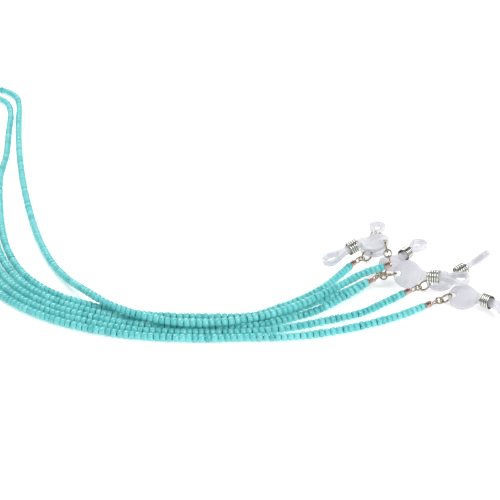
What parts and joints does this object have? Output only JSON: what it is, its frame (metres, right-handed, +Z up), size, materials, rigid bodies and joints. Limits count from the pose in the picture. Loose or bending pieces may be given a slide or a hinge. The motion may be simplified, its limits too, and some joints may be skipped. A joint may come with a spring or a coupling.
{
  "type": "eyeglass retainer strap",
  "caption": "Beaded eyeglass retainer straps bundled together; each string ends in linked rings and a clear silicone temple loop with a coil spring slider.",
  "frame": {"origin": "on the surface the straps lie on, under the middle of the box around the six end fittings", "axes": "+Z up; +Y away from the viewer, towards the far folds of the straps; +X to the right along the near edge"},
  "size_m": [0.2523, 0.2272, 0.0127],
  "materials": {
    "beads": "opaque turquoise glass, satin gloss",
    "crimp_metal": "rose-silver plated, satin",
    "wire": "bright wire",
    "ring_steel": "bright wire, slightly golden",
    "silicone": "clear milky silicone, satin",
    "spring_steel": "bright nickel plate"
  },
  "bodies": {
    "strings": {"strand_1": "beads", "strand_2": "beads", "strand_3": "beads", "crimp_1": "crimp_metal", "crimp_2": "crimp_metal", "crimp_3": "crimp_metal", "crimp_4": "crimp_metal", "crimp_5": "crimp_metal", "crimp_6": "crimp_metal", "wire_eye_1": "wire", "wire_eye_2": "wire", "wire_eye_3": "wire", "wire_eye_4": "wire", "wire_eye_5": "wire", "wire_eye_6": "wire"},
    "link_ring_1": {"link_ring_1": "ring_steel"},
    "link_ring_2": {"link_ring_2": "ring_steel"},
    "link_ring_3": {"link_ring_3": "ring_steel"},
    "link_ring_4": {"link_ring_4": "ring_steel"},
    "link_ring_5": {"link_ring_5": "ring_steel"},
    "link_ring_6": {"link_ring_6": "ring_steel"},
    "end_ring_1": {"end_ring_1": "ring_steel"},
    "end_ring_2": {"end_ring_2": "ring_steel"},
    "end_ring_3": {"end_ring_3": "ring_steel"},
    "end_ring_4": {"end_ring_4": "ring_steel"},
    "end_ring_5": {"end_ring_5": "ring_steel"},
    "end_ring_6": {"end_ring_6": "ring_steel"},
    "silicone_loop_1": {"silicone_loop_1": "silicone"},
    "silicone_loop_2": {"silicone_loop_2": "silicone"},
    "silicone_loop_3": {"silicone_loop_3": "silicone"},
    "silicone_loop_4": {"silicone_loop_4": "silicone"},
    "silicone_loop_5": {"silicone_loop_5": "silicone"},
    "silicone_loop_6": {"silicone_loop_6": "silicone"},
    "spring_slider_1": {"spring_slider_1": "spring_steel"},
    "spring_slider_2": {"spring_slider_2": "spring_steel"},
    "spring_slider_3": {"spring_slider_3": "spring_steel"},
    "spring_slider_4": {"spring_slider_4": "spring_steel"},
    "spring_slider_5": {"spring_slider_5": "spring_steel"},
    "spring_slider_6": {"spring_slider_6": "spring_steel"}
  },
  "joints": [
    {"name": "link_swing_1", "type": "hinge", "parent": "strings", "child": "link_ring_1", "pos_m": [-0.00803, 0.00026, 0.00789], "axis": [-0.1169, -0.7713, 0.6256], "range_deg": [-20, 0]},
    {"name": "ring_swing_1", "type": "hinge", "parent": "link_ring_1", "child": "end_ring_1", "pos_m": [-0.00852, 0.00152, 0.00936], "axis": [-0.9632, -0.0653, -0.2606], "range_deg": [-16, 4]},
    {"name": "loop_swing_1", "type": "hinge", "parent": "end_ring_1", "child": "silicone_loop_1", "pos_m": [-0.00902, 0.00445, 0.01047], "axis": [-0.2549, -0.0843, 0.9633], "range_deg": [-20, 0]},
    {"name": "spring_slide_1", "type": "slide", "parent": "silicone_loop_1", "child": "spring_slider_1", "axis": [-0.8655, -0.3733, -0.3341], "range_m": [0, 0.002]},
    {"name": "link_swing_2", "type": "hinge", "parent": "strings", "child": "link_ring_2", "pos_m": [-0.01128, -0.01149, 0.00604], "axis": [-0.4058, -0.7764, 0.4822], "range_deg": [0, 20]},
    {"name": "ring_swing_2", "type": "hinge", "parent": "link_ring_2", "child": "end_ring_2", "pos_m": [-0.00975, -0.01191, 0.00666], "axis": [-0.1649, 0.5812, 0.7969], "range_deg": [-20, 0]},
    {"name": "loop_swing_2", "type": "hinge", "parent": "end_ring_2", "child": "silicone_loop_2", "pos_m": [-0.00653, -0.01242, 0.00769], "axis": [-0.2213, -0.8092, 0.5443], "range_deg": [0, 20]},
    {"name": "spring_slide_2", "type": "slide", "parent": "silicone_loop_2", "child": "spring_slider_2", "axis": [0.9697, -0.2418, 0.0349], "range_m": [0, 0.002]},
    {"name": "link_swing_3", "type": "hinge", "parent": "strings", "child": "link_ring_3", "pos_m": [-0.01715, 0.00804, 0.00204], "axis": [-0.1892, -0.1089, 0.9759], "range_deg": [-8, 20]},
    {"name": "ring_swing_3", "type": "hinge", "parent": "link_ring_3", "child": "end_ring_3", "pos_m": [-0.01574, 0.00886, 0.00241], "axis": [-0.499, 0.8666, 0], "range_deg": [-20, 20]},
    {"name": "loop_swing_3", "type": "hinge", "parent": "end_ring_3", "child": "silicone_loop_3", "pos_m": [-0.0128, 0.01055, 0.0027], "axis": [0, 0, 1], "range_deg": [-20, 20]},
    {"name": "spring_slide_3", "type": "slide", "parent": "silicone_loop_3", "child": "spring_slider_3", "axis": [0.1736, 0.9848, 0], "range_m": [0, 0.002]},
    {"name": "link_swing_4", "type": "hinge", "parent": "strings", "child": "link_ring_4", "pos_m": [-0.01155, -0.00331, 0.00202], "axis": [-0.1389, -0.1691, 0.9758], "range_deg": [-4, 8]},
    {"name": "ring_swing_4", "type": "hinge", "parent": "link_ring_4", "child": "end_ring_4", "pos_m": [-0.01046, -0.00198, 0.00241], "axis": [-0.7728, 0.6346, 0], "range_deg": [-4, 20]},
    {"name": "loop_swing_4", "type": "hinge", "parent": "end_ring_4", "child": "silicone_loop_4", "pos_m": [-0.0083, 0.00064, 0.0027], "axis": [0, 0, 1], "range_deg": [-20, 12]},
    {"name": "spring_slide_4", "type": "slide", "parent": "silicone_loop_4", "child": "spring_slider_4", "axis": [0.6157, 0.788, 0], "range_m": [0, 0.002]},
    {"name": "link_swing_5", "type": "hinge", "parent": "strings", "child": "link_ring_5", "pos_m": [0.00692, -0.02132, 0.0019], "axis": [-0.0117, -0.4167, 0.909], "range_deg": [-20, 20]},
    {"name": "ring_swing_5", "type": "hinge", "parent": "link_ring_5", "child": "end_ring_5", "pos_m": [0.00862, -0.0207, 0.0022], "axis": [-0.3734, 0.8451, 0.3826], "range_deg": [-4, 20]},
    {"name": "loop_swing_5", "type": "hinge", "parent": "end_ring_5", "child": "silicone_loop_5", "pos_m": [0.01178, -0.01966, 0.00299], "axis": [-0.1215, -0.4535, 0.8829], "range_deg": [-20, 20]},
    {"name": "spring_slide_5", "type": "slide", "parent": "silicone_loop_5", "child": "spring_slider_5", "axis": [0.6032, -0.7813, 0.1604], "range_m": [0, 0.002]},
    {"name": "link_swing_6", "type": "hinge", "parent": "strings", "child": "link_ring_6", "pos_m": [0.00075, -0.01256, 0.00194], "axis": [-0.0995, -0.2606, 0.9603], "range_deg": [-16, 20]},
    {"name": "ring_swing_6", "type": "hinge", "parent": "link_ring_6", "child": "end_ring_6", "pos_m": [0.00235, -0.01204, 0.00225], "axis": [-0.3371, 0.9168, 0.2139], "range_deg": [-16, 20]},
    {"name": "loop_swing_6", "type": "hinge", "parent": "end_ring_6", "child": "silicone_loop_6", "pos_m": [0.00557, -0.01098, 0.00275], "axis": [-0.0483, -0.2438, 0.9686], "range_deg": [-20, 20]},
    {"name": "spring_slide_6", "type": "slide", "parent": "silicone_loop_6", "child": "spring_slider_6", "axis": [0.8258, 0.4306, 0.3642], "range_m": [0, 0.002]}
  ]
}
